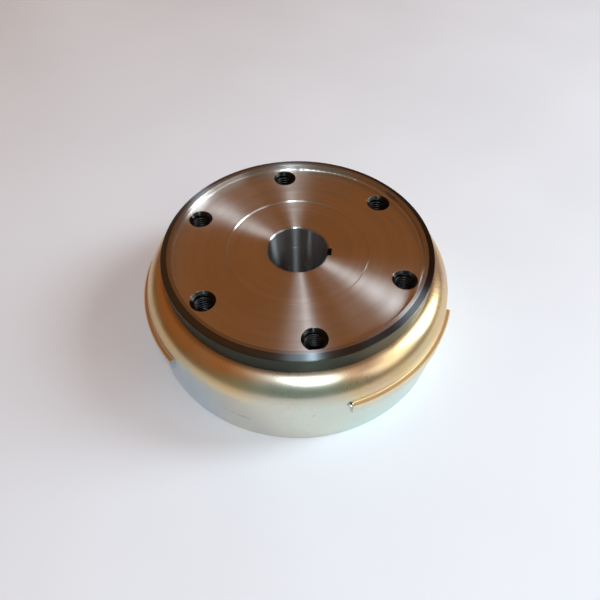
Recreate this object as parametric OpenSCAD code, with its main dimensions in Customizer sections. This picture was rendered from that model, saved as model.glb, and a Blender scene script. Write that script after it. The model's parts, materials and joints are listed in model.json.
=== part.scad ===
// Magneto flywheel rotor: a pressed steel cup on a machined hub, with arc
// magnets inside the cup and two trigger bars on its outer wall.
// The rotor stands mouth down: Z = 0 is the plane of the open rim, and +Z runs
// up the axis, out of the hub face. All sizes are in millimetres.

/* [Cup] */
// Outer radius of the cup wall
cup_r = 63.8; // [60:0.2:80]
// Thickness of the cup wall
cup_wall = 4.2; // [3:0.1:5.5]
// Height from the open rim to the flat of the web that carries the hub
web_z = 36.4; // [34:0.2:48]
// Thickness of the web round the hub
web_t = 5; // [3.5:0.1:6]
// Radius of the rounded shoulder between the wall and the web
shoulder_r = 11; // [8:0.5:13]
// Chamfer on both edges of the open rim
rim_chamfer = 0.6; // [0.3:0.1:1]

/* [Hub] */
// Outer radius of the hub flange
hub_r = 55; // [50:0.5:58]
// Height of the hub flange above the web
hub_rise = 8; // [6:0.1:10]
// Depth of the hub spigot below the web's upper flat
spigot_depth = 6; // [5.2:0.1:8]
// Width of the seat where the flange lies on the web round the spigot
seat_w = 3.2; // [2:0.1:5]
// Radial width of the sloped band round the top edge
edge_slope_w = 2.2; // [1:0.1:3]
// Fall of that band
edge_slope_h = 0.75; // [0.3:0.05:1.5]
// Radius of the rounding at the outer corner
edge_round = 0.4; // [0.3:0.1:1.2]
// Radial width of the flat lip
lip_w = 1.4; // [0.8:0.1:2.5]
// Radius of the fillet at the foot of the lip
lip_fillet = 1; // [0.4:0.1:1.2]
// Depth of the turned face below the lip
face_drop = 2.7; // [2:0.1:3.5]
// Radius of the small bevelled step in the face
step_r = 29.2; // [24:0.2:34]
// Depth of that step
step_drop = 0.5; // [0.2:0.1:0.8]

/* [Taper bore] */
// Radius of the taper at its wide end, just inside the mouth chamfer
bore_r = 12.4; // [11:0.1:13.5]
// Fall of the taper's radius for each millimetre of depth
bore_taper = 0.1; // [0.05:0.01:0.12]
// Chamfer at the mouth of the bore
bore_chamfer = 0.5; // [0.4:0.1:1.2]
// Width of the keyway
key_w = 4; // [3:0.1:5]
// Depth of the keyway beyond the bore wall
key_d = 1.5; // [1:0.1:2]
// Direction of the keyway about the axis
key_angle = -7; // [-180:1:180]

/* [Boss] */
// Outer radius of the boss inside the cup
boss_r = 21; // [19:0.5:24]
// Height of the boss end above the open rim
boss_z = 3; // [1:0.5:6]
// Radius of the fillet where the boss meets the flange
boss_fillet = 3; // [1:0.5:5]
// Chamfer round the end of the boss
boss_chamfer = 1.2; // [0.5:0.1:2]
// Radius of the threaded puller socket in the boss end
puller_r = 14; // [13:0.25:15]
// Depth of the puller socket
puller_depth = 10; // [6:0.5:12]

/* [Clutch bolt holes] */
// Radius of the circle the threaded holes lie on
bolt_circle_r = 44.9; // [40:0.1:45.5]
// Radius of each threaded hole
bolt_r = 4; // [3:0.25:4.5]
// Chamfer at the mouth of each hole
bolt_chamfer = 1; // [0.5:0.1:1.5]
// Number of threaded holes
bolt_count = 6; // [3:1:8]
// Direction of the first hole about the axis
bolt_angle = 38; // [0:1:60]

/* [Trigger bars] */
// Height of the bars' upper ledge above the open rim
bar_top_z = 24.7; // [18:0.1:25]
// Height of each bar along the axis
bar_h = 5.5; // [4:0.1:8]
// How far the bars stand out from the cup wall
bar_out = 1.8; // [1:0.1:3]
// Chamfer along the bars' lower edge
bar_chamfer = 0.8; // [0.3:0.1:1]
// Directions of the first bar's two ends
bar_a = [-72, -16.5]; // [-180:0.5:180]
// Directions of the second bar's two ends
bar_b = [173, 222]; // [90:0.5:270]

/* [Magnets] */
// Number of arc magnets
magnet_count = 12; // [12:1:12]
// Radial thickness of each magnet
magnet_t = 7; // [5:0.1:8]
// Height of each magnet along the axis
magnet_h = 20.5; // [16:0.5:20.5]
// Height of the magnets' lower ends above the open rim
magnet_z = 4; // [3:0.5:5]
// Angle that each magnet spans
magnet_span = 26; // [20:0.5:27]
// Glue gap behind and beside the magnets
glue_gap = 0.1; // [0.05:0.05:0.2]
// Thickness of the moulded ring below the magnets
ring_t = 1.6; // [1:0.1:2]
// Thickness of the spacer ring above the magnets
spacer_t = 2; // [1:0.1:2.5]
// Thickness of the liner inside the magnets
liner_t = 0.5; // [0.3:0.1:0.8]
// Leg of the weld bead between hub and web
weld_leg = 1; // [0.6:0.1:1.5]

/* [Hidden] */
$fn = 180;
eps = 0.01;
cup_in_r = cup_r - cup_wall;
shoulder_c = [cup_r - shoulder_r, web_z - shoulder_r];
// the inner corner of the cup follows the shoulder at the wall's thickness
inner_r = shoulder_r - cup_wall;
inner_c = [cup_in_r - inner_r, web_z - web_t - inner_r];
// the hub's spigot fills the web's hole, which stays inside the shoulder's start
spigot_r = min(hub_r - seat_w, shoulder_c[0] - 1);
hub_z = web_z + hub_rise;
face_z = hub_z - face_drop;
step_z = face_z - step_drop;
hub_low_z = web_z - spigot_depth;
lip_out_r = hub_r - edge_round - edge_slope_w;
lip_in_r = lip_out_r - lip_w;
edge_z = hub_z - edge_slope_h;
puller_z = boss_z + puller_depth;
mouth_z = step_z - bore_chamfer;
bore_low_r = bore_r - bore_taper * (mouth_z - puller_z);
taper_angle = atan(bore_taper);
magnet_out_r = cup_in_r - glue_gap;
magnet_in_r = magnet_out_r - magnet_t;
liner_out_r = magnet_in_r - glue_gap;
magnet_top_z = magnet_z + magnet_h;
magnet_pitch = 360 / magnet_count;
ring_z = magnet_z - glue_gap - ring_t;
spacer_z = magnet_top_z + glue_gap;
liner_z = [ring_z, spacer_z + spacer_t];
// the spacer's outer edge stays inside the cup's inner corner
spacer_out_r = cup_in_r - 1.2;

// A ring of rectangular section, from radius r0 to r1 and height z0 to z1
module ring(r0, r1, z0, z1) {
  rotate_extrude() translate([r0, z0]) square([r1 - r0, z1 - z0]);
}

// A sector of that ring between two directions
module ring_sector(r0, r1, z0, z1, a0, a1) {
  rotate([0, 0, a0]) rotate_extrude(angle = a1 - a0)
    translate([r0, z0]) square([r1 - r0, z1 - z0]);
}

// Section of the cup's outside: a wall, a rounded shoulder and the web
module cup_outer_section() {
  difference() {
    union() {
      square([cup_r, shoulder_c[1]]);
      square([shoulder_c[0], web_z]);
      translate(shoulder_c) circle(r = shoulder_r);
    }
    translate([cup_r, 0]) rotate(45)
      square(rim_chamfer * sqrt(2), center = true);
  }
}

// Section of the space inside the cup
module cup_inner_section() {
  translate([0, -1]) square([cup_in_r, inner_c[1] + 1]);
  square([inner_c[0], web_z - web_t]);
  translate(inner_c) circle(r = inner_r);
  translate([cup_in_r, 0]) rotate(45)
    square(rim_chamfer * sqrt(2), center = true);
}

module cup() {
  color("#b9a878") rotate_extrude() difference() {
    cup_outer_section();
    cup_inner_section();
    translate([-1, -1]) square([spigot_r + 1, web_z + 2]);
  }
}

// Section of the hub's flange: a spigot in the web's hole, a rounded corner, a
// sloped band, a flat lip with a fillet at its foot, and a low face with a step
module hub_section() {
  translate([0, hub_low_z]) square([spigot_r, spigot_depth]);
  translate([lip_out_r, web_z])
    square([hub_r - lip_out_r, edge_z - edge_round - web_z]);
  translate([hub_r - edge_round, edge_z - edge_round]) circle(r = edge_round);
  polygon([
    [0, web_z], [hub_r - edge_round, web_z], [hub_r - edge_round, edge_z],
    [lip_out_r, hub_z], [lip_in_r, hub_z], [lip_in_r, face_z],
    [step_r, face_z], [step_r - step_drop, step_z], [0, step_z]
  ]);
  difference() {
    translate([lip_in_r - lip_fillet, face_z - lip_fillet])
      square([lip_fillet, 2 * lip_fillet]);
    translate([lip_in_r - lip_fillet, face_z + lip_fillet])
      circle(r = lip_fillet);
  }
}

// Section of the boss below the flange, with a fillet where the two meet
module hub_boss_section() {
  difference() {
    translate([0, boss_z])
      square([boss_r + boss_fillet, hub_low_z - boss_z]);
    translate([boss_r + boss_fillet, hub_low_z - boss_fillet])
      circle(r = boss_fillet);
    translate([boss_r, boss_z - 1])
      square([boss_fillet + 1, hub_low_z - boss_fillet - boss_z + 1]);
    translate([boss_r, boss_z]) rotate(45)
      square(boss_chamfer * sqrt(2), center = true);
  }
}

// The tapered bore, its mouth chamfer and the puller socket below it
module hub_bore() {
  rotate_extrude() polygon([
    [0, boss_z - 1], [puller_r, boss_z - 1], [puller_r, puller_z],
    [bore_low_r, puller_z], [bore_r, mouth_z],
    [bore_r + bore_chamfer + 1, step_z + 1], [0, step_z + 1]
  ]);
}

// The keyway runs down the bore wall at the taper's own slope
module keyway() {
  rotate([0, 0, key_angle]) translate([bore_r, 0, step_z])
    rotate([0, taper_angle, 0]) translate([-key_d, -key_w / 2, puller_z - step_z - 2])
      cube([2 * key_d, key_w, step_z - puller_z + 4]);
}

// Each threaded hole goes through the flange and is chamfered at its mouth
module bolt_holes() {
  for (i = [0 : bolt_count - 1])
    rotate([0, 0, bolt_angle + i * 360 / bolt_count])
      translate([bolt_circle_r, 0, 0]) {
        translate([0, 0, hub_low_z - 1])
          cylinder(r = bolt_r, h = face_z - hub_low_z + 2, $fn = 48);
        translate([0, 0, face_z - bolt_chamfer])
          cylinder(r1 = bolt_r, r2 = bolt_r + bolt_chamfer + eps,
                   h = bolt_chamfer + eps, $fn = 48);
      }
}

module hub() {
  color("#7d6a5a") difference() {
    rotate_extrude() hub_section();
    hub_bore();
    keyway();
    bolt_holes();
  }
}

// The boss and the flange are one piece of steel, drawn as two parts that meet
// in the plane of the flange's underside
module hub_boss() {
  color("#7d6a5a") difference() {
    rotate_extrude() hub_boss_section();
    hub_bore();
    keyway();
  }
}

// Weld bead in the corner between the spigot and the web's underside
module hub_weld() {
  color("#6d6259") rotate_extrude() polygon([
    [spigot_r, web_z - web_t], [spigot_r + weld_leg, web_z - web_t],
    [spigot_r, web_z - web_t - weld_leg]
  ]);
}

// A raised bar on the cup wall with a flat ledge and a chamfered lower edge
module trigger_bar(a) {
  low_z = bar_top_z - bar_h;
  out_r = cup_r + bar_out;
  color("#a08a5c") rotate([0, 0, a[0]]) rotate_extrude(angle = a[1] - a[0])
    polygon([
      [cup_r, low_z], [out_r - bar_chamfer, low_z],
      [out_r, low_z + bar_chamfer], [out_r, bar_top_z], [cup_r, bar_top_z]
    ]);
}

module magnet(i) {
  a = i * magnet_pitch;
  color("#3a3a3e") ring_sector(magnet_in_r, magnet_out_r, magnet_z, magnet_top_z,
                               a - magnet_span / 2, a + magnet_span / 2);
}

// Moulded cage: a ring with a pocket for each magnet, open above and at
// both sides, so a thin floor and a rib between each pair of magnets are left
module magnet_cage() {
  pocket_span = magnet_span + 2 * atan(glue_gap / magnet_in_r);
  color("#26282a") difference() {
    ring(magnet_in_r, magnet_out_r, ring_z, magnet_top_z);
    for (i = [0 : magnet_count - 1])
      ring_sector(magnet_in_r - 1, magnet_out_r + 1, ring_z + ring_t,
                  magnet_top_z + 1, i * magnet_pitch - pocket_span / 2,
                  i * magnet_pitch + pocket_span / 2);
  }
}

module magnet_spacer() {
  color("#8f9295") ring(magnet_in_r, spacer_out_r, spacer_z, spacer_z + spacer_t);
}

module magnet_liner() {
  color("#b8bcc0") ring(liner_out_r - liner_t, liner_out_r, liner_z[0], liner_z[1]);
}

cup();
hub();
hub_boss();
hub_weld();
trigger_bar(bar_a);  // trigger_bar_a
trigger_bar(bar_b);  // trigger_bar_b
magnet_cage();
magnet_spacer();
magnet_liner();
for (i = [1 : magnet_count])
  magnet(i);
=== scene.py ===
# %% [markdown]
# # Finishing a magneto flywheel rotor
# The rotor is a pressed steel cup, plated yellow, fixed to a turned steel hub.
# Arc magnets sit inside the cup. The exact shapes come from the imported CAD
# model, so this lesson is about finishes: turned metal, plating, ferrite and
# moulded plastic, plus a few small pieces that are easier to make in a mesh,
# such as threads and a weld bead.

# %% Load the frame
import json
import math

import bmesh
import bpy
from mathutils import Matrix, Vector, noise


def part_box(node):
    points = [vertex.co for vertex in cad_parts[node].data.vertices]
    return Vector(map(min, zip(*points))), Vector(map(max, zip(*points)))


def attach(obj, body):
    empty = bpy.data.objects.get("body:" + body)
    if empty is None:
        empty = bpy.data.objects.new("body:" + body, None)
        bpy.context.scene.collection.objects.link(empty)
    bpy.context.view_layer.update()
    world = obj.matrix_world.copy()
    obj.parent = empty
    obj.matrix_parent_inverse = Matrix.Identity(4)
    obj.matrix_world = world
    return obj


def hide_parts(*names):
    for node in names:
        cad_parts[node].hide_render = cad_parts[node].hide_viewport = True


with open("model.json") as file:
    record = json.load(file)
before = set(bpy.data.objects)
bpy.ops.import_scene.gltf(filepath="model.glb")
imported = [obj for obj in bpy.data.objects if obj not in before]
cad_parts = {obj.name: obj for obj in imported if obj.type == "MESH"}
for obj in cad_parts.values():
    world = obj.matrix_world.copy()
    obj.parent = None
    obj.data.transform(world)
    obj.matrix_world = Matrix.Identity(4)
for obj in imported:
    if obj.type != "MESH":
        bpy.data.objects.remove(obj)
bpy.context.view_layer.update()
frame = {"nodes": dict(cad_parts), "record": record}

MM = 0.001
nodes = frame["nodes"]

# %% [markdown]
# ## Measures
# Most places in this lesson come from the CAD parts or from the mounts in the
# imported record, so a change of the model carries through. The few that neither
# of them states are named below, and have to be changed along with the model.
# All helper sizes are in millimetres, because that is how a turner reads them,
# and are scaled to metres only when a mesh is made.


# %% Read the measures
def top(name):
    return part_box(name)[1].z / MM


def bottom(name):
    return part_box(name)[0].z / MM


def outer_radius(name):
    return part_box(name)[1].y / MM


mounts = {m["name"]: m for m in frame["record"]["mounts"]}
CUP_R = outer_radius("cup")
WEB_Z = top("cup")
HUB_R = outer_radius("hub")
HUB_Z = top("hub")
FLANGE_LOW = bottom("hub")
BOSS_LOW = bottom("hub_boss")
BAR_TOP = top("trigger_bar_a")
BOLT_CIRCLE = mounts["clutch_bolts"]["dims"]["pcd_mm"] / 2
BOLT_R = mounts["clutch_bolts"]["dims"]["hole_r_mm"]
BOLT_COUNT = mounts["clutch_bolts"]["dims"]["count"]
PULLER_R = mounts["puller_socket"]["dims"]["r_mm"]
PULLER_DEPTH = mounts["puller_socket"]["dims"]["length_mm"]
print("cup radius", round(CUP_R, 1), "hub radius", round(HUB_R, 1), "total height", round(HUB_Z, 1))

# %% Sizes that the record doesn't state
FACE_DROP = 2.7  # depth of the hub's face below its lip
EDGE_BAND = 2.6  # width of the hub's sloped and rounded edge
LIP_WIDTH = 1.4
SEAT_WIDTH = 3.2  # the flange's seat on the web, outside the spigot
MOUTH_R = 12.9  # outer radius of the chamfer at the bore's mouth
MOUTH_CHAMFER = 1.0  # chamfer of each threaded hole
BOLT_TURN = 38.0  # direction of the first threaded hole, in degrees
KEY_TURN = -7.0  # direction of the keyway
KEY_REACH = 14.1  # just past the keyway's outer wall
KEY_HALF_ANGLE = 9.5  # just past its sides, in degrees at the bore's wall
KEY_MIDDLE = 27.0  # height of the keyway's middle
KEY_HALF_LENGTH = 14.1
FACE_Z = HUB_Z - FACE_DROP
step = 360 / BOLT_COUNT
print("the hub's face is at", round(FACE_Z, 1), "mm")

# %% [markdown]
# ## Camera
# The rotor is seen from in front and above, about 52 degrees over the table,
# through a fairly wide lens held close. A close wide lens makes the near side
# larger, and that is why the hub looks like a steeper cone than it is. The
# camera's matrix is built from the direction it looks in and its slight roll.

# %% Place the camera
CAMERA_PLACE = (0.98, -142.37, 189.37)
CAMERA_RIGHT = (1.0, 0.0028, 0.0022)  # level but for a slight roll
CAMERA_BACK = (0.0, -0.6157, 0.788)
camera_data = bpy.data.cameras.new("camera")
camera_data.lens = 30
camera_data.sensor_width = 36
camera_data.clip_start = 0.01
camera = bpy.data.objects.new("camera", camera_data)
bpy.context.scene.collection.objects.link(camera)
right = Vector(CAMERA_RIGHT).normalized()
back = Vector(CAMERA_BACK).normalized()
up = back.cross(right).normalized()
right = up.cross(back)
turned_to = Matrix((right, up, back)).transposed().to_4x4()
camera.matrix_world = Matrix.Translation(Vector(CAMERA_PLACE) * MM) @ turned_to
bpy.context.scene.camera = camera
bpy.context.scene.view_settings.view_transform = "Standard"
print("camera is", round(camera.matrix_world.translation.length / MM), "mm from the rim's centre")

# %% [markdown]
# ## A short way to write nodes
# A material is a board of nodes joined by wires. Written out in full, each wire
# takes several lines, so this small helper lets a number or another node's
# output go straight into any input. Everything else in the lesson uses it.


# %% A node board
class Board:
    def __init__(self, tree):
        self.tree = tree

    def wire(self, value, socket):
        if isinstance(value, bpy.types.NodeSocket):
            self.tree.links.new(value, socket)
        elif value is not None:
            socket.default_value = value

    def put(self, kind, inputs=None, **settings):
        node = self.tree.nodes.new("ShaderNode" + kind)
        for name, value in settings.items():
            setattr(node, name, value)
        for name, value in (inputs or {}).items():
            self.wire(value, node.inputs[name])
        return node

    def maths(self, operation, *values):
        return self.put("Math", dict(enumerate(values)), operation=operation).outputs[0]

    def vector(self, operation, *values):
        node = self.put("VectorMath", dict(enumerate(values)), operation=operation)
        return node.outputs["Value" if operation in ("DOT_PRODUCT", "LENGTH") else 0]

    def spread(self, value, low, high, to_low=0.0, to_high=1.0):
        """Remaps low..high to to_low..to_high with soft ends, and clamps it."""
        return self.put("MapRange", {0: value, 1: low, 2: high, 3: to_low, 4: to_high},
                        interpolation_type="SMOOTHSTEP").outputs[0]

    def mix(self, amount, a, b):
        node = self.put("Mix", {0: amount, 6: a, 7: b}, data_type="RGBA")
        return node.outputs[2]

    def blend(self, amount, a, b):
        node = self.put("Mix", {0: amount, 2: a, 3: b}, data_type="FLOAT")
        return node.outputs[0]

    def clouds(self, point, scale, detail=2.0, rough=0.5):
        return self.put("TexNoise", {"Vector": point, "Scale": scale, "Detail": detail,
                                     "Roughness": rough}).outputs[0]

    def join(self, x, y, z):
        return self.put("CombineXYZ", {0: x, 1: y, 2: z}).outputs[0]


def colour(r, g, b):
    return (r, g, b, 1.0)


# %% [markdown]
# ## Groups: effects that several finishes share
# Turning marks, worn edges and handling marks show up on more than one metal.
# Each is made once as a group with named sockets, and each material sets its
# own values on it. The first group answers "where on the lathe is this point":
# its radius, its height and its direction about the axis, in millimetres.


# %% Start a group
def start_group(name, inputs, outputs):
    tree = bpy.data.node_groups.new(name, "ShaderNodeTree")
    for label, value in inputs.items():
        socket = tree.interface.new_socket(label, in_out="INPUT", socket_type="NodeSocketFloat")
        socket.default_value = value
    for label, kind in outputs.items():
        tree.interface.new_socket(label, in_out="OUTPUT", socket_type="NodeSocket" + kind)
    board = Board(tree)
    return board, tree.nodes.new("NodeGroupInput").outputs, tree.nodes.new("NodeGroupOutput").inputs


def use(board, name, **values):
    node = board.tree.nodes.new("ShaderNodeGroup")
    node.node_tree = bpy.data.node_groups[name]
    for label, value in values.items():
        board.wire(value, node.inputs[label.replace("_", " ")])
    return node.outputs


def millimetre_point(board):
    place = board.put("TexCoord").outputs["Object"]
    return board.vector("MULTIPLY", place, (1 / MM, 1 / MM, 1 / MM))


# %% Group: place on the lathe
board, given, result = start_group(
    "lathe place", {}, {"Radius": "Float", "Height": "Float", "East": "Float", "North": "Float",
                        "Turn": "Float"})
split = board.put("SeparateXYZ", {0: millimetre_point(board)}).outputs
flat = board.join(split[0], split[1], 0.0)
radius = board.vector("LENGTH", flat)
board.wire(radius, result["Radius"])
board.wire(split[2], result["Height"])
board.wire(board.maths("DIVIDE", split[0], radius), result["East"])
board.wire(board.maths("DIVIDE", split[1], radius), result["North"])
board.wire(board.maths("DEGREES", board.maths("ARCTAN2", split[1], split[0])), result["Turn"])
print("group made: lathe place")

# %% [markdown]
# ## Group: turned rings
# A turning tool leaves a fine spiral that reads as rings. Noise gives rings if
# its input changes fast along the cut and slowly round the axis. Radius plus
# height grows along both a face and a side, so one rule marks every surface.

# %% Group: turned rings
STREAKS_PER_MM = 0.35
board, given, result = start_group(
    "turned rings", {"Rings per mm": 3.0, "Slow change": 0.03},
    {"Height": "Float", "Streak": "Float"})
place = use(board, "lathe place")
along = board.maths("ADD", place["Radius"], place["Height"])
point = board.put("SeparateXYZ", {0: millimetre_point(board)}).outputs
slow = [board.maths("MULTIPLY", axis, given["Slow change"]) for axis in point[:2]]
fine = board.join(board.maths("MULTIPLY", along, given["Rings per mm"]), *slow)
coarse = board.join(board.maths("MULTIPLY", along, STREAKS_PER_MM), *slow)
board.wire(board.clouds(fine, 1.0, 3.0, 0.6), result["Height"])
board.wire(board.clouds(coarse, 1.0, 4.0, 0.7), result["Streak"])
print("group made: turned rings")

# %% [markdown]
# ## Group: worn edges
# Corners of a handled metal part are rubbed bright. Each finish paints them a
# paler colour, partly for that wear and partly as a painted edge glint. The
# Bevel node gives the normal that a slightly rounded corner would have. Where
# it differs from the true normal there is an edge, and noise breaks the line up.

# %% Group: worn edges
board, given, result = start_group(
    "edge wear and painted glint", {"Width mm": 0.25, "Raggedness": 0.4}, {"Mask": "Float", "Normal": "Vector"})
rounded = board.put("Bevel", {"Radius": board.maths("MULTIPLY", given["Width mm"], MM)}, samples=4)
true_normal = board.put("NewGeometry").outputs["Normal"]
bend = board.maths("SUBTRACT", 1.0, board.vector("DOT_PRODUCT", rounded.outputs[0], true_normal))
patchy = board.clouds(millimetre_point(board), 0.9, 3.0)
patchy = board.maths("SUBTRACT", 1.0, board.maths("MULTIPLY", patchy, given["Raggedness"]))
# Mask of the corners that each finish paints pale, for wear and for a painted edge glint.
board.wire(board.maths("MULTIPLY", board.spread(bend, 0.01, 0.16), patchy), result["Mask"])
board.wire(rounded.outputs[0], result["Normal"])
print("group made: edge wear and painted glint")

# %% [markdown]
# ## Group: handling marks
# Fingers leave dull clouds, and sliding on a bench leaves short hair scratches.
# Both are faint and change roughness more than colour. The scratches are noise
# stretched along two directions, and only its highest crests are kept.

# %% Group: handling marks
board, given, result = start_group(
    "handling marks", {"Cloud size mm": 18.0, "Scratch amount": 0.5}, {"Clouds": "Float",
                                                                      "Scratches": "Float"})
point = millimetre_point(board)
board.wire(board.clouds(board.vector("DIVIDE", point, board.join(*[given["Cloud size mm"]] * 3)),
                        1.0, 4.0, 0.55), result["Clouds"])
hairs = []
for stretch in ((0.05, 2.6, 0.4), (1.9, 0.12, 0.5)):
    hair = board.clouds(board.vector("MULTIPLY", point, stretch), 1.0, 2.0, 0.4)
    hairs.append(board.spread(hair, 0.70, 0.78))
both = board.maths("MAXIMUM", *hairs)
board.wire(board.maths("MULTIPLY", both, given["Scratch amount"]), result["Scratches"])
print("group made: handling marks")

# %% [markdown]
# ## Group: plating
# Yellow passivated zinc is a thin film, so its colour drifts between straw,
# mint, pink and lavender as the film's thickness changes. The drift is broad
# and slow. The steel under it was drawn through a die, so its fine grain runs
# up the wall and over the shoulder.

# %% Group: plating
DRAWN_STRETCH = 0.25  # the grain is this much slower up the wall than round it
board, given, result = start_group(
    "plating film", {"Drift size mm": 26.0, "Grain per mm": 2.4, "Shift": 0.0},
    {"Colour": "Color", "Grain": "Float"})
point = millimetre_point(board)
soft = board.clouds(board.vector("DIVIDE", point, board.join(*[given["Drift size mm"]] * 3)),
                    1.0, 2.0, 0.45)
drift = board.maths("ADD", soft, given["Shift"])
ramp = board.put("ValToRGB", {0: drift})
film = ramp.color_ramp
film.interpolation = "B_SPLINE"
stops = [(0.22, (0.60, 0.58, 0.60)), (0.36, (0.74, 0.55, 0.46)), (0.48, (0.74, 0.58, 0.30)),
         (0.60, (0.72, 0.64, 0.40)), (0.74, (0.56, 0.70, 0.56)), (0.90, (0.56, 0.66, 0.64))]
while len(film.elements) < len(stops):
    film.elements.new(0.5)
for element, (at, rgb) in zip(film.elements, stops):
    element.position = at
    element.color = colour(*rgb)
board.wire(ramp.outputs[0], result["Colour"])
place = use(board, "lathe place")
around = [board.maths("MULTIPLY", place[side], CUP_R) for side in ("East", "North")]
drawn = board.join(*around, board.maths("MULTIPLY", place["Height"], DRAWN_STRETCH))
grain = board.clouds(board.vector("MULTIPLY", drawn, board.join(*[given["Grain per mm"]] * 3)),
                     1.0, 3.0, 0.65)
board.wire(grain, result["Grain"])
print("group made: plating film,", len(stops), "film colours")


# %% [markdown]
# ## Starting a metal
# Every metal here has one Principled shader. Values that are the same all over,
# such as anisotropy, are set on the shader itself, and only what changes over
# the surface is wired in.


# %% Start a material
def start_material(name, **constants):
    material = bpy.data.materials.new(name)
    material.use_nodes = True
    board = Board(material.node_tree)
    shader = material.node_tree.nodes["Principled BSDF"]
    for label, value in constants.items():
        shader.inputs[label.replace("_", " ")].default_value = value
    return material, board, shader.inputs


def dress(material, *names):
    for name in names:
        mesh = nodes[name].data
        mesh.materials.clear()
        mesh.materials.append(material)
    print(material.name, "on", ", ".join(names))


# %% [markdown]
# ## Turned steel
# The hub is bare steel cut on a lathe. Its rings stretch every highlight across
# them, which gives a turned face its bright wedges. That is anisotropy with a
# tangent that runs round the axis. The side and the sloped edge are darker from
# oil and heat. Towards the right, where the window is, the slope is painted
# darker as painted shade and the side browner and paler as painted light.
# The bore is ground smooth. The keyway, the threaded holes and the mouths of
# the holes are painted near black as painted shade.

# %% Turned steel: masks
turned, board, shader = start_material("turned_steel", Metallic=1.0, Anisotropic=1.0,
                                       Anisotropic_Rotation=0.25)
place = use(board, "lathe place")
rings = use(board, "turned rings", Rings_per_mm=3.2, Slow_change=0.02)
marks = use(board, "handling marks", Cloud_size_mm=16.0, Scratch_amount=0.35)
edges = use(board, "edge wear and painted glint", Width_mm=0.22, Raggedness=0.5)
slope = board.spread(place["Radius"], HUB_R - EDGE_BAND - 0.1, HUB_R - EDGE_BAND + 0.1)
side = board.spread(place["Radius"], HUB_R - 0.5, HUB_R - 0.2)
bore = board.spread(place["Radius"], MOUTH_R + 0.4, MOUTH_R)
nearest = board.maths("SUBTRACT", board.maths("WRAP", place["Turn"], BOLT_TURN + step / 2,
                                              BOLT_TURN - step / 2), BOLT_TURN)
across = board.maths("MULTIPLY", board.maths("SINE", board.maths("RADIANS", nearest)),
                     place["Radius"])
along = board.maths("SUBTRACT", board.maths("MULTIPLY", place["Radius"], board.maths(
    "COSINE", board.maths("RADIANS", nearest))), BOLT_CIRCLE)
from_hole = board.vector("LENGTH", board.join(across, along, 0.0))
hole = board.spread(from_hole, BOLT_R + 0.25, BOLT_R + 0.05)
mouth_r = BOLT_R + MOUTH_CHAMFER
mouth = board.maths("MULTIPLY", board.spread(from_hole, mouth_r + 0.02, mouth_r - 0.06),
                    board.spread(place["Height"], FACE_Z + 0.3, FACE_Z + 0.1))
beside_key = board.maths("ABSOLUTE", board.maths("SUBTRACT", place["Turn"], KEY_TURN))
in_key_length = board.maths("COMPARE", place["Height"], KEY_MIDDLE, KEY_HALF_LENGTH)
in_key_reach = board.spread(place["Radius"], KEY_REACH + 0.2, KEY_REACH)
key = board.maths("MULTIPLY", board.spread(beside_key, KEY_HALF_ANGLE + 0.4, KEY_HALF_ANGLE),
                  board.maths("MULTIPLY", in_key_reach, in_key_length))
print("masks made: slope, side, bore and", BOLT_COUNT, "holes with their mouths")

# %% Turned steel: colour, roughness and bump
tone = board.mix(board.spread(rings["Streak"], 0.3, 0.7), colour(0.53, 0.50, 0.47),
                 colour(0.60, 0.56, 0.52))
# Painted light and shade from the window on the right: the slope is painted darker there, and the
# side paler and browner.
painted_window_side = board.spread(place["East"], 0.1, 0.7)
tone = board.mix(slope, tone, board.mix(painted_window_side, colour(0.115, 0.13, 0.145),
                                        colour(0.042, 0.042, 0.044)))
lip_from = HUB_R - EDGE_BAND - LIP_WIDTH
lip = board.maths("MULTIPLY", board.spread(place["Radius"], lip_from, lip_from + 0.2),
                  board.spread(place["Height"], HUB_Z - 0.3, HUB_Z - 0.1))
lip = board.maths("MULTIPLY", lip, board.maths("SUBTRACT", 1.0, slope))
tone = board.mix(board.maths("MULTIPLY", lip, 0.6), tone, colour(0.22, 0.23, 0.25))
# The side's painted light: paler and browner towards the window on the right.
tone = board.mix(side, tone, board.mix(painted_window_side, colour(0.065, 0.075, 0.060),
                                       colour(0.17, 0.15, 0.10)))
tone = board.mix(bore, tone, colour(0.40, 0.40, 0.40))
# Rubbed corners painted pale: partly wear and partly a painted edge glint.
tone = board.mix(board.maths("MULTIPLY", edges["Mask"], 0.7), tone, colour(0.80, 0.82, 0.84))
# Painted shade: the mouths of the threaded holes, the hole walls and the keyway are painted near
# black.
tone = board.mix(mouth, tone, colour(0.035, 0.035, 0.033))
tone = board.mix(board.maths("MAXIMUM", hole, key), tone, colour(0.025, 0.024, 0.022))
board.wire(tone, shader["Base Color"])
rough = board.spread(rings["Streak"], 0.25, 0.75, 0.285, 0.315)
rough = board.maths("ADD", rough, board.spread(marks["Clouds"], 0.45, 0.7, 0.0, 0.04))
rough = board.blend(bore, rough, 0.29)
rough = board.blend(board.maths("MAXIMUM", slope, mouth), rough, 0.33)
rough = board.maths("ADD", rough, board.maths("MULTIPLY", marks["Scratches"], 0.10))
board.wire(rough, shader["Roughness"])
board.wire(board.put("Tangent", direction_type="RADIAL", axis="Z").outputs[0], shader["Tangent"])
bump = board.put("Bump", {"Strength": 0.5, "Distance": 0.000006, "Height": rings["Height"],
                          "Normal": edges["Normal"]})
board.wire(bump.outputs[0], shader["Normal"])
dress(turned, "hub", "hub_boss")


# %% [markdown]
# ## Marks on the plated wall
# The plated wall carries a dark circumferential scratch, a faint one and a
# small nick. Each is a short line in unrolled space, direction against height.
# A helper gives the mask of one such line with tapered ends, so no picture of
# the marks is needed.


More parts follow.
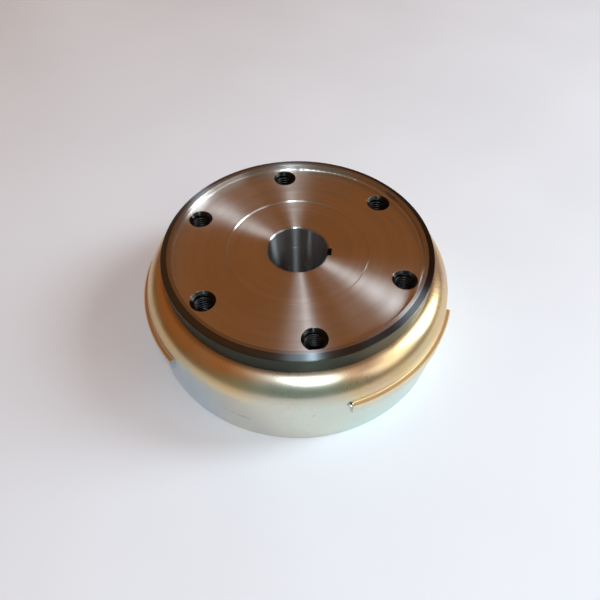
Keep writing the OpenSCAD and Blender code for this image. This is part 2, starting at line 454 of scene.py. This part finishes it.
# %% Scratch helper
def scratch(board, place, start, end, width):
    """Mask of a line between two (direction in degrees, height in mm) points."""
    progress = board.put("MapRange", {0: place["Turn"], 1: start[0], 2: end[0]}).outputs[0]
    line = board.blend(progress, start[1], end[1])
    off = board.maths("ABSOLUTE", board.maths("SUBTRACT", place["Height"], line))
    ends = board.maths("MULTIPLY", board.maths("MULTIPLY", progress, board.maths(
        "SUBTRACT", 1.0, progress)), 4.0)
    half = board.maths("MULTIPLY", board.maths("POWER", ends, 0.35), width)
    return board.spread(off, half, board.maths("MULTIPLY", half, 0.3))


# %% [markdown]
# ## Yellow plated steel
# The cup and both trigger bars share the plating. Its film is painted palest
# and greenest on the front, a painted sheen where it faces the lamps, and more
# golden round the sides and on the shoulder. The left of the low wall carries a
# painted reflection of the pale table, the ring beside the hub painted shade,
# and the bars' ledges painted highlight lines. Metallic stays at one, and the
# grain is a small bump that breaks up the edge of each highlight.


# %% Plating material
def plating(name, shift, grain_height, marked):
    material, board, shader = start_material(name, Metallic=1.0, Anisotropic=0.0)
    place = use(board, "lathe place")
    film = use(board, "plating film", Drift_size_mm=26.0, Grain_per_mm=2.6, Shift=shift)
    marks = use(board, "handling marks", Cloud_size_mm=12.0)
    edges = use(board, "edge wear and painted glint", Width_mm=0.3, Raggedness=0.8)
    front = board.maths("MULTIPLY", place["North"], -1.0)
    low = board.spread(place["Height"], WEB_Z - 6.0, WEB_Z - 16.0)
    # Painted sheen: the front, which faces the lamps, is painted pale; on the shoulder only its
    # middle, on the low wall a broad band.
    reach = board.blend(low, board.spread(front, 0.93, 1.0), board.spread(front, 0.35, 0.85))
    gold = board.mix(board.spread(place["Height"], WEB_Z - 9.5, WEB_Z - 6.5), film["Colour"],
                     board.mix(0.65, film["Colour"], colour(0.68, 0.47, 0.22)))
    tone = board.mix(board.maths("MULTIPLY", reach, 0.75), gold, colour(0.64, 0.67, 0.61))
    mint = board.maths("MULTIPLY", board.spread(place["Height"], 20.0, 4.0), board.spread(
        board.maths("ADD", board.maths("MULTIPLY", place["East"], 0.6), board.maths(
            "MULTIPLY", front, 0.8)), 0.86, 1.0))
    tone = board.mix(board.maths("MULTIPLY", mint, 0.6), tone, colour(0.56, 0.70, 0.64))
    # Painted reflection: the left of the low wall is painted lavender-blue like the pale table
    # beside it.
    west = board.maths("MULTIPLY", board.spread(place["East"], -0.30, -0.65), low)
    tone = board.mix(board.maths("MULTIPLY", west, 0.8), tone, colour(0.53, 0.63, 0.74))
    # Painted shade: a dark brown ring on the shoulder where it meets the hub.
    foot = board.spread(place["Radius"], HUB_R + 2.2, HUB_R + 0.4)
    tone = board.mix(board.maths("MULTIPLY", foot, 0.6), tone, colour(0.22, 0.16, 0.09))
    if not marked:
        ledge = board.spread(place["Height"], BAR_TOP - 0.5, BAR_TOP - 0.2)
        tone = board.mix(ledge, tone, colour(0.60, 0.43, 0.22))
        # Painted highlights: bright lines along the ledge's outer edge and along its corner at the
        # wall.
        lines = board.maths("ADD", board.spread(place["Radius"], CUP_R + 1.3, CUP_R + 1.6),
                            board.spread(place["Radius"], CUP_R + 0.45, CUP_R + 0.15))
        tone = board.mix(board.maths("MULTIPLY", lines, ledge), tone, colour(1.0, 0.85, 0.58))
    # Corners painted pale gold, partly wear and partly a painted edge glint; on the cup only near
    # the bottom rim.
    wear_and_glint = board.maths("MULTIPLY", edges["Mask"], 0.9)
    if marked:
        wear_and_glint = board.maths("MULTIPLY", wear_and_glint, board.spread(place["Height"], 2.5, 1.0, 0.0, 0.5))
    tone = board.mix(wear_and_glint, tone, colour(0.92, 0.80, 0.58))
    rough = board.spread(film["Grain"], 0.3, 0.7, 0.270, 0.300)
    rough = board.maths("ADD", rough, board.spread(marks["Clouds"], 0.4, 0.7, 0.0, 0.06))
    if not marked:
        rough = board.blend(ledge, rough, 0.52)
    if marked:
        dark = scratch(board, place, (-116.4, 13.5), (-110.6, 12.9), 0.14)
        dark = board.maths("MAXIMUM", dark, scratch(board, place, (-111.0, 12.9),
                                                    (-105.6, 12.2), 0.26))
        faint = scratch(board, place, (-95.2, 17.9), (-90.6, 17.7), 0.16)
        nick = scratch(board, place, (-84.9, 19.4), (-83.9, 20.3), 0.4)
        faint = board.maths("MAXIMUM", board.maths("MULTIPLY", faint, 0.35),
                            board.maths("MULTIPLY", nick, 0.55))
        dark = board.maths("MAXIMUM", dark, faint)
        tone = board.mix(board.maths("MULTIPLY", dark, 0.8), tone, colour(0.10, 0.08, 0.06))
        rough = board.maths("ADD", rough, board.maths("MULTIPLY", dark, 0.3))
    board.wire(tone, shader["Base Color"])
    board.wire(rough, shader["Roughness"])
    bump = board.put("Bump", {"Strength": 0.6, "Distance": grain_height * MM,
                              "Height": film["Grain"]})
    board.wire(bump.outputs[0], shader["Normal"])
    return material


dress(plating("plated_cup", 0.0, 0.006, True), "cup")
dress(plating("plated_bar", 0.02, 0.004, False), "trigger_bar_a", "trigger_bar_b")

# %% [markdown]
# ## Ferrite magnets
# Sintered ferrite is a dark ceramic, ground on the faces that need a size. It
# has a very fine grain, open pits and a weak sheen, so it is not metallic.

# %% Ferrite
ferrite, board, shader = start_material("magnet_ferrite", Metallic=0.0, Specular_IOR_Level=0.55)
point = millimetre_point(board)
speckle = board.clouds(point, 3.0, 4.0, 0.7)
pits = board.spread(board.clouds(point, 0.9, 2.0, 0.5), 0.68, 0.76)
ground = use(board, "turned rings", Rings_per_mm=2.0, Slow_change=0.05)
edges = use(board, "edge wear and painted glint", Width_mm=0.3, Raggedness=0.6)
tone = board.mix(board.spread(speckle, 0.3, 0.7), colour(0.040, 0.040, 0.044),
                 colour(0.085, 0.085, 0.092))
# Chipped edges painted pale, partly wear and partly a painted edge glint.
tone = board.mix(board.maths("MULTIPLY", edges["Mask"], 0.5), tone, colour(0.20, 0.20, 0.21))
# Painted shade: the open pits are painted near black.
tone = board.mix(pits, tone, colour(0.015, 0.015, 0.016))
board.wire(tone, shader["Base Color"])
board.wire(board.spread(ground["Streak"], 0.3, 0.7, 0.42, 0.60), shader["Roughness"])
depth = board.maths("SUBTRACT", board.maths("MULTIPLY", ground["Height"], 0.3), pits)
bump = board.put("Bump", {"Strength": 0.6, "Distance": 0.00003, "Height": depth,
                          "Normal": edges["Normal"]})
board.wire(bump.outputs[0], shader["Normal"])
magnets = sorted(name for name in nodes if name.startswith("magnet_") and name[7:].isdigit())
dress(ferrite, *magnets)

# %% [markdown]
# ## Moulded cage
# The cage that spaces the magnets is black moulded plastic with a fine spark
# texture from its mould and slightly paler edges.

# %% Cage plastic
cage, board, shader = start_material("moulded_plastic", Metallic=0.0, Specular_IOR_Level=0.4)
point = millimetre_point(board)
spark = board.clouds(point, 4.0, 3.0, 0.6)
edges = use(board, "edge wear and painted glint", Width_mm=0.2, Raggedness=0.7)
marks = use(board, "handling marks", Cloud_size_mm=9.0)
tone = board.mix(board.spread(spark, 0.3, 0.7), colour(0.020, 0.020, 0.022),
                 colour(0.034, 0.034, 0.037))
# Edges painted paler, partly wear and partly a painted edge glint.
tone = board.mix(board.maths("MULTIPLY", edges["Mask"], 0.4), tone, colour(0.10, 0.10, 0.105))
board.wire(tone, shader["Base Color"])
board.wire(board.spread(marks["Clouds"], 0.3, 0.7, 0.45, 0.62), shader["Roughness"])
bump = board.put("Bump", {"Strength": 0.5, "Distance": 0.00004, "Height": spark,
                          "Normal": edges["Normal"]})
board.wire(bump.outputs[0], shader["Normal"])
dress(cage, "magnet_cage")

# %% [markdown]
# ## Spacer and liner
# The spacer above the magnets is sawn aluminium, dull with saw rings. The liner
# inside them is thin rolled steel, brighter, with the lines of rolling round
# it. Both use the turned rings group with their own values.


# %% Sheet metals
def sheet_metal(name, pale, dark, rough_low, rough_high, rings_per_mm, groove):
    material, board, shader = start_material(name, Metallic=1.0, Anisotropic=0.5,
                                             Anisotropic_Rotation=0.25)
    rings = use(board, "turned rings", Rings_per_mm=rings_per_mm, Slow_change=0.06)
    marks = use(board, "handling marks", Cloud_size_mm=8.0, Scratch_amount=0.5)
    edges = use(board, "edge wear and painted glint", Width_mm=0.15, Raggedness=0.5)
    tone = board.mix(board.spread(rings["Streak"], 0.3, 0.7), colour(*dark), colour(*pale))
    # Edges painted paler, partly wear and partly a painted edge glint.
    tone = board.mix(board.maths("MULTIPLY", edges["Mask"], 0.6), tone, colour(0.8, 0.8, 0.8))
    board.wire(tone, shader["Base Color"])
    rough = board.spread(marks["Clouds"], 0.3, 0.7, rough_low, rough_high)
    board.wire(board.maths("ADD", rough, board.maths("MULTIPLY", marks["Scratches"], 0.1)),
               shader["Roughness"])
    board.wire(board.put("Tangent", direction_type="RADIAL", axis="Z").outputs[0],
               shader["Tangent"])
    bump = board.put("Bump", {"Strength": 0.5, "Distance": groove * MM,
                              "Height": rings["Height"], "Normal": edges["Normal"]})
    board.wire(bump.outputs[0], shader["Normal"])
    return material


dress(sheet_metal("spacer_alloy", (0.66, 0.67, 0.68), (0.52, 0.53, 0.55), 0.42, 0.55, 2.0, 0.02),
      "magnet_spacer")
dress(sheet_metal("liner_steel", (0.64, 0.64, 0.65), (0.52, 0.52, 0.53), 0.28, 0.40, 4.0, 0.006),
      "magnet_liner")


# %% [markdown]
# ## Putting a new piece in the frame
# A new piece is a mesh in millimetres, scaled to metres, smooth shaded, given
# its material and then attached to the body it rides on.


# %% Finish a piece
def finish_piece(name, mesh, material):
    bmesh.ops.scale(mesh, vec=(MM, MM, MM), verts=mesh.verts)
    bmesh.ops.recalc_face_normals(mesh, faces=mesh.faces)
    data = bpy.data.meshes.new(name)
    mesh.to_mesh(data)
    mesh.free()
    data.materials.append(material)
    for face in data.polygons:
        face.use_smooth = True
    piece = bpy.data.objects.new(name, data)
    bpy.context.scene.collection.objects.link(piece)
    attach(piece, "root")
    print(name, "made with", len(data.polygons), "faces")
    return piece


def bridge(mesh, rows, closed_rows=False):
    """Makes faces between neighbouring rows of points, each row a closed section."""
    pairs = list(zip(rows, rows[1:] + rows[:1])) if closed_rows else list(zip(rows, rows[1:]))
    for one, two in pairs:
        for i in range(len(one)):
            j = (i + 1) % len(one)
            mesh.faces.new((one[i], one[j], two[j], two[i]))
    if not closed_rows:
        mesh.faces.new(rows[0])
        mesh.faces.new(rows[-1])


# %% [markdown]
# ## Threads
# A thread can be cut with a boolean, bent from a curve, or swept as a ridge.
# The ridge is lightest and never fails: a small trapezium climbs the hole wall
# by one pitch a turn, and it fades out at both ends as a tap leaves it.


# %% Thread helper
ROOT_SHARE = 0.46  # half the ridge's foot and half its crest, as shares of the pitch
CREST_SHARE = 0.07


def thread(name, centre, wall, depth, pitch, low, high, material, steps=44):
    mesh = bmesh.new()
    count = int((high - low) / pitch * steps)
    rows = []
    for i in range(count + 1):
        turns = i / steps
        z = low + turns * pitch
        fade = min(1.0, 2.5 * i / steps + 0.05, 2.5 * (count - i) / steps + 0.05)
        crest = wall - depth * fade
        out = wall + 0.03
        section = [(out, z - ROOT_SHARE * pitch), (crest, z - CREST_SHARE * pitch),
                   (crest, z + CREST_SHARE * pitch), (out, z + ROOT_SHARE * pitch)]
        angle = 2 * math.pi * turns
        rows.append([mesh.verts.new((centre[0] + r * math.cos(angle),
                                     centre[1] + r * math.sin(angle), h)) for r, h in section])
    bridge(mesh, rows)
    return finish_piece(name, mesh, material)


# %% [markdown]
# ## Thread finish
# Cut threads are painted darker than the face, a painted shade for the inside
# of the holes, with bright crests where the tap rubbed, partly a painted glint.

# %% Thread material
shaded_thread_steel, board, shader = start_material("thread_steel", Metallic=1.0)
point = millimetre_point(board)
thread_mottle = board.clouds(point, 0.8, 3.0, 0.6)
edges = use(board, "edge wear and painted glint", Width_mm=0.08, Raggedness=0.5)
# Painted shade: the thread is painted very dark for the inside of the hole.
tone = board.mix(board.spread(thread_mottle, 0.35, 0.65), colour(0.030, 0.029, 0.027),
                 colour(0.060, 0.058, 0.055))
# Crests painted paler, partly the tap's rubbing and partly a painted edge glint.
tone = board.mix(board.maths("MULTIPLY", edges["Mask"], 0.5), tone, colour(0.13, 0.13, 0.125))
board.wire(tone, shader["Base Color"])
board.wire(board.spread(thread_mottle, 0.3, 0.7, 0.28, 0.45), shader["Roughness"])
bump = board.put("Bump", {"Strength": 0.4, "Distance": 0.00002, "Height": thread_mottle,
                          "Normal": edges["Normal"]})
board.wire(bump.outputs[0], shader["Normal"])
print("thread finish made")

# %% Threads in the six holes and the puller socket
for i in range(BOLT_COUNT):
    angle = math.radians(BOLT_TURN + i * step)
    centre = (BOLT_CIRCLE * math.cos(angle), BOLT_CIRCLE * math.sin(angle))
    thread(f"bolt_thread_{i + 1}", centre, BOLT_R, 0.62, 1.25, FLANGE_LOW + 0.6, FACE_Z - 1.5,
           shaded_thread_steel)
thread("puller_thread", (0.0, 0.0), PULLER_R, 0.85, 1.5, BOSS_LOW + 0.9,
       BOSS_LOW + PULLER_DEPTH - 1.2, turned, steps=110)

# %% [markdown]
# ## Weld bead
# The hub is welded to the cup's web from inside. A bead is a row of frozen
# ripples, so its section swells and leans a little with every ripple. The CAD
# bead is a plain ring, and this rippled one stands in for it.

# %% Weld bead mesh
low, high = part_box("hub_weld")
BEAD_R = HUB_R - SEAT_WIDTH
BEAD_LEG = (high.z - low.z) / MM
BEAD_TOP = high.z / MM
BEAD_SLICES = 900
BEAD_RIPPLES = 135  # the ripple's wave is folded, so twice as many show
mesh = bmesh.new()
rows = []
for i in range(BEAD_SLICES):
    angle = 2 * math.pi * i / BEAD_SLICES
    lump = noise.noise(Vector((math.cos(angle) * 9, math.sin(angle) * 9, 2.0)))
    ripple = abs(math.sin(angle * BEAD_RIPPLES + lump * 2.5))
    leg = BEAD_LEG * (0.90 + 0.06 * lump + 0.06 * ripple)
    section = [(BEAD_R - 0.05, BEAD_TOP + 0.05)]
    for k in range(7):
        t = math.pi / 2 * k / 6
        swell = 1.0 - 0.28 * math.sin(2 * t) + 0.10 * ripple * math.sin(2 * t)
        section.append((BEAD_R - 0.05 + (leg + 0.05) * math.cos(t) * swell,
                        BEAD_TOP + 0.05 - (leg + 0.05) * math.sin(t) * swell))
    rows.append([mesh.verts.new((r * math.cos(angle), r * math.sin(angle), z))
                 for r, z in section])
bridge(mesh, rows, closed_rows=True)

# %% Weld finish
welded, board, shader = start_material("weld_steel", Metallic=1.0)
point = millimetre_point(board)
scale_marks = board.clouds(point, 1.6, 4.0, 0.65)
heat = board.clouds(point, 0.12, 2.0, 0.5)
tone = board.mix(board.spread(scale_marks, 0.35, 0.65), colour(0.22, 0.20, 0.19),
                 colour(0.46, 0.43, 0.40))
tone = board.mix(board.spread(heat, 0.5, 0.75), tone, colour(0.24, 0.22, 0.30))
board.wire(tone, shader["Base Color"])
board.wire(board.spread(scale_marks, 0.3, 0.7, 0.30, 0.55), shader["Roughness"])
bump = board.put("Bump", {"Strength": 0.6, "Distance": 0.00006, "Height": scale_marks})
board.wire(bump.outputs[0], shader["Normal"])
bead = finish_piece("weld_bead", mesh, welded)
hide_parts("hub_weld")

# %% [markdown]
# ## Spot of weld at the bar's end
# The near end of one trigger bar is tacked to the wall with a small lump of
# weld. It starts as a fine ball, is pressed flat against the wall and then
# roughened with noise, so it looks like metal that ran and froze. Its upper
# side is coloured dark and its lower side bright.

# %% Tack of weld
TACK_TURN = -72.3
TACK_Z = BAR_TOP - 0.7
mesh = bmesh.new()
bmesh.ops.create_icosphere(mesh, subdivisions=4, radius=1.0)
turn = math.radians(TACK_TURN)
outward = Vector((math.cos(turn), math.sin(turn), 0.0))
around = Vector((-math.sin(turn), math.cos(turn), 0.0))
for vertex in mesh.verts:
    p = vertex.co.copy()
    rough_size = 1.0 + 0.22 * noise.noise(p * 2.2) + 0.08 * noise.noise(p * 6.0)
    p *= rough_size
    vertex.co = (outward * (CUP_R + 0.15 + 0.85 * p.x) + around * (1.25 * p.y)
                 + Vector((0, 0, TACK_Z + 0.85 * p.z + 0.15 * p.y)))

tacked, board, shader = start_material("tack_steel", Metallic=1.0)
spot = board.put("SeparateXYZ", {0: millimetre_point(board)}).outputs[2]
wobble = board.clouds(millimetre_point(board), 2.2, 3.0, 0.6)
level = board.maths("ADD", spot, board.maths("MULTIPLY", wobble, 0.5))
# Darker upper side, brighter lower side, split at a wobbly height.
dark_top = board.spread(level, TACK_Z + 0.95, TACK_Z + 1.05)
board.wire(board.mix(dark_top, colour(0.86, 0.85, 0.80), colour(0.045, 0.045, 0.04)),
           shader["Base Color"])
board.wire(board.blend(dark_top, 0.22, 0.5), shader["Roughness"])
bump = board.put("Bump", {"Strength": 0.5, "Distance": 0.00005, "Height": wobble})
board.wire(bump.outputs[0], shader["Normal"])
finish_piece("bar_tack", mesh, tacked)

# %% [markdown]
# ## Table
# The rotor stands on a plain pale table. A flat colour looks dead, so the
# surface has a very slight mottle and a soft sheen. The table is a stage, and
# isn't part of the object.

# %% Table
mesh = bmesh.new()
bmesh.ops.create_grid(mesh, x_segments=24, y_segments=24, size=3.0)
data = bpy.data.meshes.new("table")
mesh.to_mesh(data)
mesh.free()
table = bpy.data.objects.new("table", data)
table.location.z = -0.02 * MM
bpy.context.scene.collection.objects.link(table)
paper, board, shader = start_material("table_top", Specular_IOR_Level=0.3)
place = board.put("TexCoord").outputs["Object"]
mottle = board.clouds(place, 9.0, 3.0, 0.5)
board.wire(board.mix(board.spread(mottle, 0.3, 0.7), colour(0.86, 0.90, 0.945),
                     colour(0.89, 0.93, 0.975)), shader["Base Color"])
board.wire(board.spread(mottle, 0.3, 0.7, 0.50, 0.60), shader["Roughness"])
data.materials.append(paper)
print("table laid")

# %% [markdown]
# ## Light
# Metal shows the room, so the room matters more than the lamps. The room here
# is a warm brown. A tall window stands at the right with a dimmer edge beside
# it, a soft panel hangs overhead, a small bright lamp sits by the camera, and a
# narrow strip stands behind on the left. Brightness is given as radiance, and
# the power follows from each panel's area.


# %% Light panels
DAYLIGHT = (0.76, 0.90, 1.0)


def panel(name, turn, rise, distance, width, height, radiance, tint):
    data = bpy.data.lights.new(name, "AREA")
    data.shape = "RECTANGLE"
    data.size = width
    data.size_y = height
    data.energy = radiance * math.pi * width * height
    data.color = tint
    light = bpy.data.objects.new(name, data)
    a, e = math.radians(turn), math.radians(rise)
    away = Vector((math.cos(a) * math.cos(e), math.sin(a) * math.cos(e), math.sin(e)))
    light.location = away * distance + Vector((0, 0, 0.03))
    light.rotation_mode = "QUATERNION"
    light.rotation_quaternion = away.to_track_quat("Z", "Y")
    bpy.context.scene.collection.objects.link(light)
    print(name, round(data.energy, 2), "W")


panel("window", 9, 34, 1.2, 0.36, 0.62, 14.0, DAYLIGHT)
panel("window_edge", -26, 32, 1.2, 0.50, 0.55, 2.2, DAYLIGHT)
panel("overhead", -84, 68, 1.2, 0.30, 0.42, 5.6, DAYLIGHT)
panel("camera_lamp", -78, 53, 0.45, 0.012, 0.030, 480.0, DAYLIGHT)
panel("back_strip", 115, 12, 1.2, 0.10, 0.32, 4.6, DAYLIGHT)

# %% [markdown]
# ## Room
# The room's colour is a world background, warm brown and darker towards the
# horizon, with a paler wall in front.
# Rays straight from the camera see a pale backdrop instead, so a low view of
# the rotor still has a plain setting.

# %% World
world = bpy.data.worlds.new("room")
bpy.context.scene.world = world
world.use_nodes = True
board = Board(world.node_tree)
world.node_tree.nodes.clear()
look = board.put("TexCoord").outputs["Generated"]
heading = board.put("SeparateXYZ", {0: look}).outputs
warm = board.mix(board.spread(heading[2], 0.0, 0.45), colour(0.14, 0.075, 0.034),
                 colour(0.315, 0.125, 0.042))
pale_wall = board.spread(heading[1], -0.45, -0.75)
walls = board.mix(pale_wall, warm, colour(0.19, 0.25, 0.22))
room = board.put("Background", {"Color": walls, "Strength": 1.0})
backdrop = board.put("Background", {"Color": colour(0.72, 0.73, 0.74), "Strength": 1.0})
seen = board.put("LightPath").outputs["Is Camera Ray"]
choice = board.put("MixShader", {0: seen, 1: room.outputs[0], 2: backdrop.outputs[0]})
board.put("OutputWorld", {"Surface": choice.outputs[0]})
print("room set")
